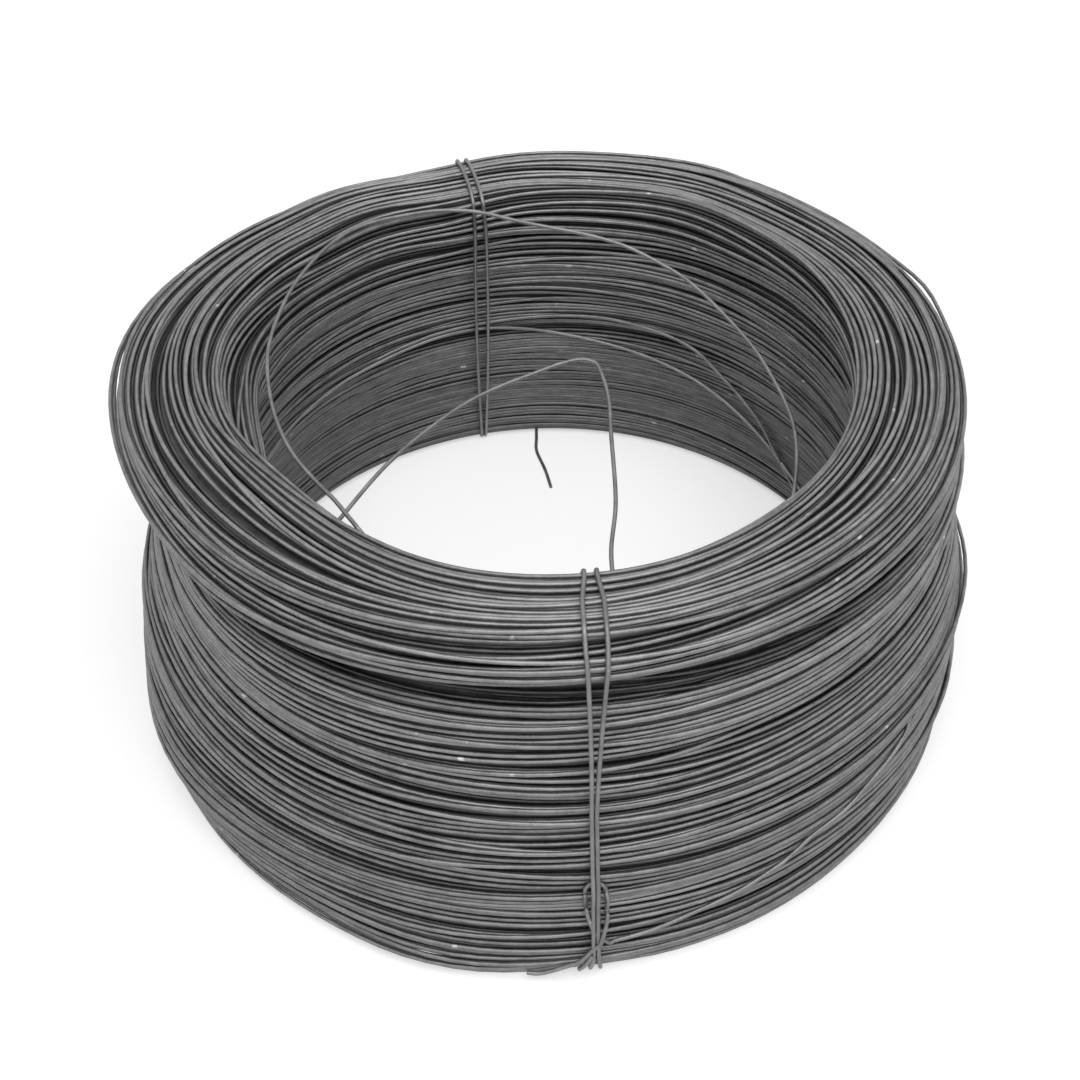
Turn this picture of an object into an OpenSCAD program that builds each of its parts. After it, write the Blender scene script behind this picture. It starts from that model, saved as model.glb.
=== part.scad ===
/* [Wire] */
// Diameter of the annealed steel wire
wire_d = 1.2; // [0.9:0.1:1.6]
// Distance between neighbouring turns along the faces of the coil
turn_pitch = 2.0; // [1.8:0.1:2.6]

/* [Coil] */
// Height of the coil as it lies on its end
coil_h = 111; // [100:1:125]
// Diameter over the turns of the top end
top_outer_d = 240; // [220:1:260]
// Thickness of the wound ring at the top end
top_wall = 31.5; // [28:0.5:36]
// Thickness of the wound ring at the base
base_wall = 21.5; // [18:0.5:24]
// How far the turns at the base stand out past those of the top end
base_spread = 4; // [3:0.5:5]
// How far the side bulges out past the top end
belly_spread = 7.5; // [6:0.5:9]
// Height of the lower edge of the bulge above the base
belly_low_z = 13; // [10:1:18]
// Height of the upper edge of the bulge above the base
belly_high_z = 40; // [34:1:46]
// How far the side draws in behind the top end, at the waist above the bulge
waist_draw = 0.5; // [0.2:0.1:1.5]
// Depth of the waist below the top end
waist_drop = 41; // [34:1:48]
// Depth below the top end at which the bore starts to widen towards the base
bore_neck_drop = 16; // [13:1:23]
// Radius that blends the slopes of the side and the bore into each other
side_blend_r = 20; // [10:1:24]
// Radius of the two top edges of the coil
top_edge_r = 9; // [6:0.5:11]
// Radius of the two bottom edges of the coil
base_edge_r = 4; // [3:0.5:5]

/* [Top bundle] */
// Height of the bundle of turns on the top end, above the middle of the gap below it
bundle_h = 17; // [14:0.5:20]
// Height of that gap at its mouth
bundle_gap_w = 5; // [4:0.5:6]
// Depth of that gap
bundle_gap_depth = 3; // [2:0.25:3.5]
// Radius of the gap's lips
bundle_gap_lip_r = 3; // [2.5:0.1:3.5]
// Radius of the gap's root
bundle_gap_root_r = 1.3; // [1:0.1:1.5]

/* [Slump] */
// Bearings of the two troughs where the left side has slumped in below the top bundle
hollow_angles = [-170, -147];
// Their depths
hollow_depths = [8, 6];
// How far the hollow reaches up past the middle of the gap below the top bundle
hollow_rise = 8; // [4:0.5:10]

/* [Ties] */
// Bearing of the front tie round the coil, with 0 along +X
front_tie_angle = -85.3; // [-92:0.1:-80]
// Bearing of the back tie round the coil
back_tie_angle = 103; // [96:0.5:110]
// Distance between the two strands of the front tie where they cross the top end
front_tie_top_gap = 3.3; // [1.7:0.1:5]
// Distance between the two strands of the back tie where they cross the top end
back_tie_top_gap = 3; // [1.7:0.1:5]
// Distance between the two strands of each tie half way down the bore
tie_bore_gap = 5; // [1.7:0.1:7]
// Radius of a tie's bends at the base of the coil
tie_base_bend_r = 2.6; // [2:0.1:3.5]
// Distance between the two ends of a tie under the coil
tie_end_gap = 8; // [5:1:14]
// Height of the middle of the hitch that the outer wire end makes round the front tie
hitch_z = 24; // [20:0.5:26]
// Height of the hitch's eye
hitch_h = 20; // [16:0.5:24]
// Width of the hitch's eye between the middles of its legs
hitch_w = 5.4; // [4.8:0.1:7]

/* [Wire ends] */
// Height at which the inner wire end crosses the bore
inner_end_z = 86; // [76:1:92]
// How much the inner wire end rises from its two ends to the middle of the bore
inner_end_rise = 4; // [2:0.5:6]
// How far round the coil the outer wire end runs from between the turns to the hitch, in degrees
outer_run_angle = 50; // [40:1:60]
// How much higher than the foot of the hitch that run starts
outer_run_rise = 29; // [20:1:34]
// How far that run sags below a straight line half way, as four times a share of its rise
outer_run_sag = 0.25; // [0:0.05:0.4]
// Length of the outer wire end's tail past the hitch, in degrees round the coil
outer_tail_angle = 11; // [8:0.5:16]
// Length of the short wire end that lies in the bore at the base
base_end_len = 34; // [20:1:50]
// How far the loose inner turn lies below the top end where it rests on the bore's wall
loose_turn_drop = 9; // [8:0.5:11]
// How far that turn sinks down the bore on its way round
loose_turn_sink = 24; // [15:1:40]
// How far it swings in from the wall where it hangs free
loose_turn_swing = 17; // [6:1:22]

/* [Hidden] */
steel = [0.36, 0.36, 0.37];
steel_dark = [0.27, 0.27, 0.28];
// Clearance between a loose strand and the turns it lies on
seat = 0.3;
// Depth of the groove between two surface turns, and half the width of a turn at its crest and
// at its foot, which give half of a six-sided wire
groove_depth = wire_d / 2;
crest_half_w = wire_d / 2 * tan(30);
foot_half_w = wire_d * tan(30);
// Steps in each rounded corner of the section
corner_steps = 6;
// Sides of a loose strand, and the longest step along one
strand_sides = 8;
strand_step = 4 * wire_d;
lay = wire_d / 2 + seat;
over = wire_d + seat;
// How far below the hitch's eye the outer wire end bends up into it
foot_drop = 3.5;
under_z = wire_d / 2 + 0.05;
notch_h = under_z + wire_d / 2 + 2 * seat;
base_outer_d = top_outer_d + 2 * base_spread;
belly_outer_d = top_outer_d + 2 * belly_spread;
waist_outer_d = top_outer_d - 2 * waist_draw;
top_bore_d = top_outer_d - 2 * top_wall;
base_bore_d = base_outer_d - 2 * base_wall;
waist_z = coil_h - waist_drop;
bore_neck_z = coil_h - bore_neck_drop;
bundle_gap_z = coil_h - bundle_h;

function unit(v) = v / norm(v);
function mix(a, b, t) = a + (b - a) * t;
function total(v, i = 0) = i >= len(v) ? 0 : v[i] + total(v, i + 1);

// Points of the arc that rounds corner b between its neighbours a and c
function corner_arc(a, b, c, r) =
    let (
        u = unit(a - b),
        v = unit(c - b),
        half = acos(u * v) / 2,
        middle = b + unit(u + v) * r / sin(half),
        start = b + u * r / tan(half) - middle,
        end = b + v * r / tan(half) - middle,
        turn = atan2(start.x * end.y - start.y * end.x, start * end),
        first = atan2(start.y, start.x)
    )
    [for (i = [0 : corner_steps])
        middle + r * [cos(first + turn * i / corner_steps), sin(first + turn * i / corner_steps)]];

// Closed outline with every corner [radius, height, rounding] rounded off
function rounded(corners) =
    [for (i = [0 : len(corners) - 1])
        let (
            n = len(corners),
            a = corners[(i + n - 1) % n],
            b = corners[i],
            c = corners[(i + 1) % n]
        )
        each corner_arc([a[0], a[1]], [b[0], b[1]], [c[0], c[1]], b[2])];

// Corners of the section over the turns, each [radius, height, rounding], the two of the base first
base_corners = [[base_bore_d / 2, 0, base_edge_r], [base_outer_d / 2, 0, base_edge_r]];
side_corners = [
    [belly_outer_d / 2, belly_low_z, side_blend_r],
    [belly_outer_d / 2, belly_high_z, side_blend_r],
    [waist_outer_d / 2, waist_z, side_blend_r]
];
gap_corners = [
    [top_outer_d / 2, bundle_gap_z - bundle_gap_w / 2, bundle_gap_lip_r],
    [top_outer_d / 2 - bundle_gap_depth, bundle_gap_z, bundle_gap_root_r],
    [top_outer_d / 2, bundle_gap_z + bundle_gap_w / 2, bundle_gap_lip_r]
];
top_corners = [
    [top_outer_d / 2, coil_h, top_edge_r],
    [top_bore_d / 2, coil_h, top_edge_r],
    [top_bore_d / 2, bore_neck_z, side_blend_r]
];

// Outline over the crests of the surface turns
crest_line = rounded(concat(base_corners, side_corners, gap_corners, top_corners));

// Outward normal of the edge from corner a to corner b
function edge_normal(a, b) =
    let (u = unit([b[0] - a[0], b[1] - a[1]]))
    [u.y, -u.x];

// Corner b once the edge before it has moved outwards by g and the edge after it by h
function moved_corner(a, b, c, g, h) =
    let (
        m = edge_normal(a, b),
        n = edge_normal(b, c),
        k = m * n
    )
    [b[0], b[1]] + (g == h ? (m + n) * g / (1 + k) : ((m - k * n) * g + (n - k * m) * h) / (1 - k * k));

// Corners of a tie's loop: off the side, the top and the bore by lay, and up into the base
function tie_corners(corners) =
    [for (i = [0 : len(corners) - 1])
        let (
            n = len(corners),
            a = corners[(i + n - 1) % n],
            b = corners[i],
            c = corners[(i + 1) % n],
            outward = cross(edge_normal(a, b), edge_normal(b, c)) > 0,
            place = moved_corner(a, b, c, i == 1 ? -under_z : lay, i == 0 ? -under_z : lay)
        )
        [place.x, place.y, i < 2 ? tie_base_bend_r : b[2] + (outward ? lay : -lay)]];

// Distances along a closed line from its first point to each of its points
function side_lengths(line) =
    [for (i = [0 : len(line) - 1]) norm(line[(i + 1) % len(line)] - line[i])];
function running(v) = [for (i = 0, s = 0; i <= len(v); s = s + (i < len(v) ? v[i] : 0), i = i + 1) s];

// Place at distance s along a closed line: [point, bearing of the line there]
function along(line, sides, marks, s) =
    let (
        i = max([for (k = [0 : len(sides) - 1]) if (marks[k] <= s && sides[k] > 0) k]),
        a = line[i],
        b = line[(i + 1) % len(line)]
    )
    [mix(a, b, (s - marks[i]) / sides[i]), atan2(b.y - a.y, b.x - a.x)];

crest_sides = side_lengths(crest_line);
crest_marks = running(crest_sides);
turn_count = floor(total(crest_sides) / turn_pitch);

// The part of the section's outline that one surface turn makes, six-sided, with a flat side outwards
function turn_outline(place) =
    let (
        ahead = [cos(place[1]), sin(place[1])],
        inward = [-ahead.y, ahead.x] * groove_depth
    )
    [
        place[0] - foot_half_w * ahead + inward,
        place[0] - crest_half_w * ahead,
        place[0] + crest_half_w * ahead,
        place[0] + foot_half_w * ahead + inward
    ];
section = [for (i = [0 : turn_count - 1])
    each turn_outline(
        along(crest_line, crest_sides, crest_marks, (i + 0.5) * total(crest_sides) / turn_count))];

// Radius of the outside and of the bore at height z, over the turns
function outer_r(z) =
    lookup(z, [
        [0, base_outer_d / 2], [belly_low_z, belly_outer_d / 2], [belly_high_z, belly_outer_d / 2],
        [waist_z, waist_outer_d / 2], [coil_h, top_outer_d / 2]
    ]);
function bore_r(z) =
    lookup(z, [[0, base_bore_d / 2], [bore_neck_z, top_bore_d / 2], [coil_h, top_bore_d / 2]]);

// A tube of diameter wire_d along a list of points, with rings square to the line
module strand(line, ref) {
    last = len(line) - 1;
    rings = [for (i = [0 : last])
        let (
            ahead = unit(line[min(i + 1, last)] - line[max(i - 1, 0)]),
            u = unit(cross(ahead, ref)),
            v = cross(u, ahead)
        )
        [for (k = [0 : strand_sides - 1])
            let (a = 360 * k / strand_sides)
            line[i] + wire_d / 2 * (cos(a) * u + sin(a) * v)]];
    polyhedron(
        points = [for (ring = rings) each ring],
        faces = [
            [for (k = [0 : strand_sides - 1]) k],
            for (i = [0 : last - 1], k = [0 : strand_sides - 1])
                let (
                    a = i * strand_sides + k,
                    b = i * strand_sides + (k + 1) % strand_sides
                )
                [a, a + strand_sides, b + strand_sides, b],
            [for (k = [strand_sides - 1 : -1 : 0]) last * strand_sides + k]
        ]
    );
}

// A line with its long steps cut into equal shorter ones
function fine(line, step = strand_step) = [
    for (i = [0 : len(line) - 2])
        let (n = max(1, ceil(norm(line[i + 1] - line[i]) / step)))
        each [for (k = [0 : n - 1]) mix(line[i], line[i + 1], k / n)],
    line[len(line) - 1]
];

// A smooth curve through a few points, as a Catmull-Rom spline with even steps
function smooth_at(a, b, c, d, t) =
    0.5 * (2 * b + (c - a) * t + (2 * a - 5 * b + 4 * c - d) * t * t + (3 * b - a - 3 * c + d) * t * t * t);
function smooth(points, step = strand_step) =
    let (last = len(points) - 1)
    [
        for (i = [0 : last - 1])
            let (
                a = points[max(i - 1, 0)],
                d = points[min(i + 2, last)],
                n = max(1, ceil(norm(points[i + 1] - points[i]) / step))
            )
            each [for (k = [0 : n - 1]) smooth_at(a, points[i], points[i + 1], d, k / n)],
        points[last]
    ];

// A point on the coil given by bearing, radius and height
function polar(angle, r, z) = [r * cos(angle), r * sin(angle), z];

// The loop of one tie strand in its own plane: out, up the side, over the top and down the bore
tie_line = fine(rounded(tie_corners(concat(base_corners, side_corners, top_corners))));
mid_r = (base_outer_d + base_bore_d) / 4;

// Half the distance between a tie's strands at a point [radius, height] of its loop
function half_gap(p, top_gap) =
    let (share = max(0, min(1, p.y / coil_h)))
    (p.x > mid_r
        ? mix(over, top_gap, max(0, (share - 0.6) / 0.4))
        : mix(over, top_gap, share) + 4 * (tie_bore_gap - top_gap) * share * (1 - share)) / 2;

// How far a tie stands off the side where it passes over the hitch behind it
hump = 1.15 * over;
hump_len = hitch_h / 4;
function over_hitch(p, passes_hitch) =
    passes_hitch && p.x > mid_r ? hump * exp(-pow((p.y - hitch_z - hitch_h / 2) / hump_len, 2)) : 0;

// The part of a tie's loop that starts and ends under the coil
function tie_turn(side, top_gap, passes_hitch) =
    [for (p = tie_line)
        if (p.y > under_z + 0.01 || abs(p.x - mid_r) > tie_end_gap / 2)
            [p.x + over_hitch(p, passes_hitch), side * half_gap(p, top_gap), p.y]];

// Puts a loop's points in order, so that it starts at the first one outside the middle of the base
function tie_order(line) =
    let (start = min([for (i = [0 : len(line) - 1]) if (line[i].x > mid_r && line[i].z < under_z + 0.01) i]))
    [for (i = [0 : len(line) - 1]) line[(i + start) % len(line)]];

// A tie: one wire laid twice round the section, with its ends under the coil
module tie(angle, top_gap, passes_hitch) {
    first = tie_order(tie_turn(1, top_gap, passes_hitch));
    second = tie_order(tie_turn(-1, top_gap, passes_hitch));
    color(steel_dark)
        rotate([0, 0, angle])
            strand(concat(first, second), [0, 1, 0]);
}

// The groove that the base turns leave where a tie passes under them
module tie_notch(angle) {
    width = over + wire_d + 4 * seat;
    length = base_outer_d - base_bore_d;
    rotate([0, 0, angle])
        translate([mid_r - length, -width / 2, -notch_h])
            cube([2 * length, width, 2 * notch_h]);
}

// The hollow that the slump leaves in the left side, as a straight trough across it
module side_hollow(angle, depth) {
    top = top_outer_d / 2;
    waist = waist_outer_d / 2;
    clear_r = belly_outer_d / 2 + wire_d;
    face = [
        [clear_r, belly_high_z],
        [waist - 0.75 * depth, waist_z],
        [waist - depth, mix(waist_z, bundle_gap_z, 0.6)],
        [top - depth, bundle_gap_z - bundle_gap_w / 2],
        [top, bundle_gap_z + hollow_rise],
        [clear_r, bundle_gap_z + hollow_rise]];
    rotate([0, 0, angle])
        rotate([90, 0, 0])
            linear_extrude(height = top_outer_d, center = true)
                polygon(face);
}

module wire_coil() {
    color(steel)
        difference() {
            rotate_extrude() polygon(section);
            tie_notch(front_tie_angle);
            tie_notch(back_tie_angle);
            for (i = [0 : len(hollow_angles) - 1])
                side_hollow(hollow_angles[i], hollow_depths[i]);
        }
}

module front_tie() {
    tie(front_tie_angle, front_tie_top_gap, true);
}

module back_tie() {
    tie(back_tie_angle, back_tie_top_gap, false);
}

// A point of the hitch, sideways from the front tie, at height z and with a number of strands below it
function hitch_point(aside, z, strands_below) =
    let (r = outer_r(z) + lay + strands_below * over)
    polar(front_tie_angle + aside / r * 180 / PI, r, z);

module outer_wire_end() {
    low = hitch_z - hitch_h / 2;
    high = hitch_z + hitch_h / 2;
    w = hitch_w / 2;
    run = [for (t = [1 : -0.1 : 0.1])
        let (z = low - foot_drop + outer_run_rise * t * (1 - outer_run_sag * (1 - t)))
        polar(front_tie_angle + outer_run_angle * t, outer_r(z) + lay, z)];
    eye = [
        hitch_point(w, low - foot_drop, 0.6),
        hitch_point(0, low, 1.2),
        hitch_point(-0.7 * w, mix(low, high, 0.25), 0.9),
        hitch_point(-w, hitch_z, 0.2),
        hitch_point(-0.8 * w, mix(low, high, 0.85), 0),
        hitch_point(0, high, 0),
        hitch_point(0.8 * w, mix(low, high, 0.85), 0),
        hitch_point(w, hitch_z, 0.4),
        hitch_point(0.75 * w, mix(low, high, 0.25), 1.6),
        hitch_point(-0.1 * w, low, 2.3)
    ];
    tail = [for (t = [0.2 : 0.2 : 1])
        let (
            z = mix(low, under_z, t),
            r = outer_r(z) + lay + mix(1.4, 0, min(1, 1.6 * t)) * over
        )
        polar(front_tie_angle - t * outer_tail_angle, r, z)];
    color(steel)
        strand(smooth(concat(run, eye, tail), 2 * wire_d), [0.1, 0.05, 1]);
}

// A point over the bore, as shares of the top bore radius
function bore_point(x, y, z) = [x * top_bore_d / 2, y * top_bore_d / 2, z];

module inner_wire_end() {
    z = inner_end_z;
    rise = inner_end_rise;
    start_angle = -136;
    end_angle = -78.5;
    end_z = z - rise;
    color(steel)
        strand(smooth([
            polar(start_angle, bore_r(z) - lay, z),
            bore_point(-0.62, -0.49, z + 0.5 * rise),
            bore_point(-0.48, -0.2, z + 0.75 * rise),
            bore_point(-0.25, 0.06, z + rise),
            bore_point(-0.01, 0.2, z + rise),
            bore_point(0.11, 0.235, z + rise),
            bore_point(0.165, 0.225, z + rise),
            bore_point(0.2, 0.18, z + 0.75 * rise),
            bore_point(0.215, 0.03, z + 0.5 * rise),
            bore_point(0.215, -0.3, z),
            bore_point(0.2, -0.68, z - 0.5 * rise),
            polar(end_angle, bore_r(end_z) - lay, end_z)
        ]), [0.05, 0.03, 1]);
}

// A point of the loose inner turn: its bearing, how far it swings in from the wall and how far it
// has sunk, as shares of the greatest
function loose_point(angle, swing, sunk) =
    let (z = coil_h - loose_turn_drop - loose_turn_sink * sunk)
    polar(angle, bore_r(z) - lay - loose_turn_swing * swing, z);

// One turn that has sprung loose from the bore's wall and hangs round it
module loose_inner_turn() {
    color(steel)
        strand(smooth([
            loose_point(243, 0, 0),
            loose_point(231, 0.35, -0.02),
            loose_point(206, 0.65, -0.04),
            loose_point(175, 0.4, -0.05),
            loose_point(149, 0, -0.06),
            loose_point(124, 0.05, -0.08),
            loose_point(106, 0.3, -0.12),
            loose_point(90, 0.65, -0.06),
            loose_point(69, 0.9, 0.05),
            loose_point(35, 1, 0.4),
            loose_point(1, 1, 0.66),
            loose_point(-23, 0.8, 0.84),
            loose_point(-45, 0.25, 0.95),
            loose_point(-60, 0, 1)
        ]), [0, 0, 1]);
}

module base_wire_end() {
    // How far the bore's rounded bottom edge draws back at the height of the strand's top
    edge_gives = base_edge_r * (1 - cos(asin(1 - (under_z + wire_d / 2) / base_edge_r)));
    reach = base_bore_d / 2 + edge_gives - 3 * seat;
    color(steel)
        strand(smooth([
            polar(91, reach, under_z),
            polar(91.5, reach - base_end_len * 0.35, under_z),
            polar(90, reach - base_end_len * 0.7, under_z),
            polar(88, reach - base_end_len, under_z)
        ]), [0, 0, 1]);
}

wire_coil();
front_tie();
back_tie();
outer_wire_end();
inner_wire_end();
loose_inner_turn();
base_wire_end();
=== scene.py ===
"""A coil of soft annealed steel wire that lies on its end, lashed with two doubled wire ties."""
import functools
import math

import bmesh
import bpy
import numpy as np
from bpy.props import FloatProperty, FloatVectorProperty, IntProperty, PointerProperty
from mathutils import Matrix, Vector


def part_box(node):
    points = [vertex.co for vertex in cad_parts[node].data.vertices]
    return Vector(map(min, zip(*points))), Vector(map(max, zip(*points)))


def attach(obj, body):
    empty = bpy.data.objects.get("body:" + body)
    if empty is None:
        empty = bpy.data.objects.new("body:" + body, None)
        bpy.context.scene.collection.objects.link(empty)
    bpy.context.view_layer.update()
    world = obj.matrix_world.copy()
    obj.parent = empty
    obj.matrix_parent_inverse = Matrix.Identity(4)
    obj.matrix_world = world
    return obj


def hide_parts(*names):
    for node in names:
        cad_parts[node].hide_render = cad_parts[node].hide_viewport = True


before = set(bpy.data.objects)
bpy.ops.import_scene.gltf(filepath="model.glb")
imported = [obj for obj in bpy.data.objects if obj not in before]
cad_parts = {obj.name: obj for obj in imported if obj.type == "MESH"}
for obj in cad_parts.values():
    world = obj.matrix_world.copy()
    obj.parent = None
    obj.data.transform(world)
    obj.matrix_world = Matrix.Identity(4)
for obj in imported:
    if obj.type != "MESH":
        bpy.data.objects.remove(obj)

bl_info = {
    "name": "Coil of annealed wire",
    "version": (1, 0, 0),
    "blender": (4, 5, 0),
    "location": "3D View > Sidebar > Wire coil",
    "description": "Builds a loosely wound coil of annealed wire with its ties and wire ends",
    "category": "Object",
}

MM = 0.001
TAU = 2 * math.pi
COIL_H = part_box("wire_coil")[1].z

# Points round each turn, and sides of the wire where it lies free, on the surface and below it
STATIONS = 120
FREE_SIDES = 12
SURFACE_SIDES = 8
DEEP_SIDES = 6

# Turns that wander over the others
RIDERS = 38

# Rounds of pushing the turns apart, before and after those are laid over them
FIRST_ROUNDS = 72
LAST_ROUNDS = 54

# Waves round a turn that are too short for the stiff wire to follow
STIFF_ORDER = 22

# Distance along the outline over which the turns low in the bore lie close together
DENSE_BORE = 44 * MM

# Brightness of the painted shade on deep turns, in the gap below the top bundle and low in the bore,
# against that of the surface turns painted fully lit
PAINTED_SHADE = 0.42

# Noise scales of the patches and grains of the scale and of the bright specks, which are partly worn spots
# and partly painted glints, per metre
PATCH_SCALE = 160.0
GRAIN_SCALE = 1300.0
WORN_GLINT_SCALE = 260.0

# Bearings of the two ties round the coil, with 0 along +X
FRONT_TIE = math.radians(-85.3)
BACK_TIE = math.radians(103)

# The inner wire end, from the bore's wall over its kink to the rim: x, y and z in millimetres
INNER_END = (
    (-63, -62, 88), (-55, -43, 88), (-42, -18, 88), (-22, 5, 89), (-1, 18, 90), (10, 22, 91),
    (15, 21, 91), (17, 17, 91), (19, 3, 91), (19, -15, 91), (19, -42, 90), (17, -60, 89),
    (17, -72, 88), (17, -89, 87))

# The short wire end on the floor in the bore: x and y in millimetres
BASE_END = ((-3, 107), (-3, 98), (-3, 90), (0, 79), (2, 69))

# The loose inner turn: bearing in degrees, radius and height in millimetres
LOOSE_TURN = (
    (252, 91, 88), (245, 89, 96), (239, 86, 102), (231, 82, 105), (221, 78.1, 104.5), (206, 76.5, 103),
    (191, 77.5, 103), (174, 80.5, 106), (162, 83.0, 107), (150, 86.4, 108.5), (139, 90.4, 109),
    (130, 93.0, 109), (118, 92.0, 108.5), (105, 86.3, 108), (90, 76.1, 106), (69, 72.3, 103),
    (53, 73.5, 97), (35, 71.0, 92), (17, 70.2, 89), (1, 72.6, 86), (-23, 76.7, 82), (-45, 86.0, 80),
    (-60, 92.0, 80))

# Where the coil has slumped outwards or, below 0, inwards: bearing and its spread in degrees,
# height, its spread and the push in millimetres
SLUMPS = (
    (169, 16, 105, 22, 1.6), (28, 30, 105, 22, 2.2), (109, 12, 108, 20, -4.4), (-104, 14, 2, 10, 4.2),
    (-86, 44, 2, 9, 4.0), (-128, 20, 2, 12, 2.4), (-34, 12, 4, 14, 0.8), (-148, 18, 18, 14, 3.0),
    (-160, 28, 60, 24, -4.6), (-172, 26, 88, 11, -7.5), (-15, 22, 58, 18, 1.6), (-150, 18, 104, 14, -2.0),
    (62, 14, 105, 22, 2.8), (136, 9, 108, 20, -1.5))

# How far the top bundle lies to the left, and how far the top leans back
BUNDLE_SHIFT = 2 * MM
LEAN_BACK = 2 * MM

# Where the top bundle's inner edge lies further out or, below 0, further in: bearing and its
# spread in degrees and the push in millimetres, and how wide and how deep that edge is
LIP = ((-135, 22, -5.0), (-80, 25, 1.6))
LIP_WIDTH = 26 * MM
LIP_DEPTH = 24 * MM

# Where the gap below the top bundle is filled, as the middle and the spread of its bearings, and
# the share of its depth that is filled there
GAP_CLOSED = (math.radians(-20), math.radians(42))
GAP_FILL = 0.85

# Turns that have sprung off the side: bearing and spread in degrees, height and stand-off in
# millimetres
SPRUNG = ((168, 14, 103, 1.6), (177, 12, 99, 1.2), (-10, 12, 46, 1.1), (18, 6, 104, 1.2))

# Loose turns that lie on the bore's wall: bearings in degrees and heights in millimetres
LOOSE_ARCS = (
    ((185, 40), (172, 46), (155, 48), (134, 51), (106, 54.5), (86, 49), (56, 38), (37, 23), (24, 8)),
    ((130, 52), (118, 55), (99, 57), (71, 57.5), (58, 54), (50, 45), (39, 31), (30, 8)))


def length(name, description, default):
    """A size in metres that the panel shows."""
    return FloatProperty(name=name, description=description, default=default, unit="LENGTH", precision=5)


def shade_of_grey(name, description, level):
    """A grey with a trace of blue that the panel shows."""
    return FloatVectorProperty(
        name=name, description=description, default=(level, level, level * 1.01), subtype="COLOR",
        size=3, min=0, max=1)


class COIL_PG_sizes(bpy.types.PropertyGroup):
    """Sizes of the wire and of the wound ring."""

    wire_d: length("Wire", "Diameter of the wire", 1.2 * MM)
    top_outer_d: length("Top", "Diameter over the turns of the top end", 240 * MM)
    top_wall: length("Top wall", "Thickness of the wound ring at the top end", 31.5 * MM)
    base_wall: length("Base wall", "Thickness of the wound ring at the base", 21.5 * MM)
    base_spread: length("Base spread", "How far the base stands out past the top end", 4 * MM)
    belly_spread: length("Bulge", "How far the side bulges out past the top end", 7.5 * MM)
    belly_low_z: length("Bulge low", "Height of the lower edge of the bulge", 13 * MM)
    belly_high_z: length("Bulge high", "Height of the upper edge of the bulge", 40 * MM)
    waist_draw: length("Waist", "How far the side draws in behind the top end", 0.5 * MM)
    waist_drop: length("Waist drop", "Depth of the waist below the top end", 41 * MM)
    bore_neck_drop: length("Bore neck", "Depth at which the bore starts to widen", 16 * MM)
    bundle_h: length("Bundle", "Height of the top bundle above the middle of its gap", 17 * MM)
    gap_w: length("Gap", "Height of the gap below the top bundle", 9 * MM)
    gap_depth: length("Gap depth", "Depth of the gap below the top bundle", 8 * MM)
    front_tie_gap: length("Front tie gap", "Distance between the front tie's strands at the bore", 3 * MM)
    front_tie_spread: length(
        "Front tie spread", "How much further apart they lie on the top bundle", 2.2 * MM)
    front_tie_lean: length("Front tie lean", "How far the top of the front tie leans aside", 1.6 * MM)
    back_tie_gap: length("Back tie gap", "Distance between the back tie's strands at the top", 3 * MM)
    tie_bore_gap: length(
        "Tie gap in bore", "Distance between a tie's strands half way down the bore", 5 * MM)
    hitch_z: length("Hitch", "Height of the middle of the hitch round the front tie", 24 * MM)
    hitch_h: length("Hitch height", "Height of the hitch's eye", 20 * MM)
    hitch_w: length("Hitch width", "Width of the hitch's eye between its legs", 5.4 * MM)
    outer_run: length("Outer run", "How far the outer wire end runs round the side", 109 * MM)
    run_rise: length("Run rise", "How much higher than the foot of the hitch that run starts", 29 * MM)
    run_sag: FloatProperty(
        name="Run sag", description="Four times that run's sag half way, as a share of its rise",
        default=0.25)
    seed: IntProperty(name="Seed", description="Seed of the random winding", default=7, min=0)


class COIL_PG_colours(bpy.types.PropertyGroup):
    """Colours of the wire."""

    bare: shade_of_grey("Bare steel", "Colour of the wire where its scale is thin", 0.36)
    scale: shade_of_grey("Scale", "Colour of the wire where its scale is thick", 0.13)
    tie: shade_of_grey("Tie wire", "Colour of the ties", 0.15)
    # Colour of the bright specks: partly worn steel, partly a painted glint, since it is brighter than the
    # bare steel
    worn_glint: shade_of_grey("Specks", "Colour of the small specks where the wire is rubbed bright", 0.62)
    roughness: FloatProperty(name="Roughness", description="Mean roughness", default=0.45, min=0, max=1)


class COIL_PG_stage(bpy.types.PropertyGroup):
    """Strength of the light."""

    key_power: FloatProperty(name="Key lamp", description="Power of the key lamp", default=11.5, min=0)
    sky: FloatProperty(name="Sky", description="Strength of the light from all round", default=0.42, min=0)


def sizes():
    return bpy.context.scene.coil_sizes


def colours():
    return bpy.context.scene.coil_colours


class Value:
    """What a node's socket gives, so that shader maths reads as an expression."""

    def __init__(self, shade, socket):
        self.shade = shade
        self.socket = socket

    def maths(self, operation, first, second=0.0):
        node = self.shade.node("ShaderNodeMath", {"operation": operation}, {0: first, 1: second})
        return self.shade.value(node)

    def __add__(self, other):
        return self.maths("ADD", self, other)

    def __sub__(self, other):
        return self.maths("SUBTRACT", self, other)

    def __rsub__(self, other):
        return self.maths("SUBTRACT", other, self)

    def __mul__(self, other):
        return self.maths("MULTIPLY", self, other)

    __radd__ = __add__
    __rmul__ = __mul__


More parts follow.
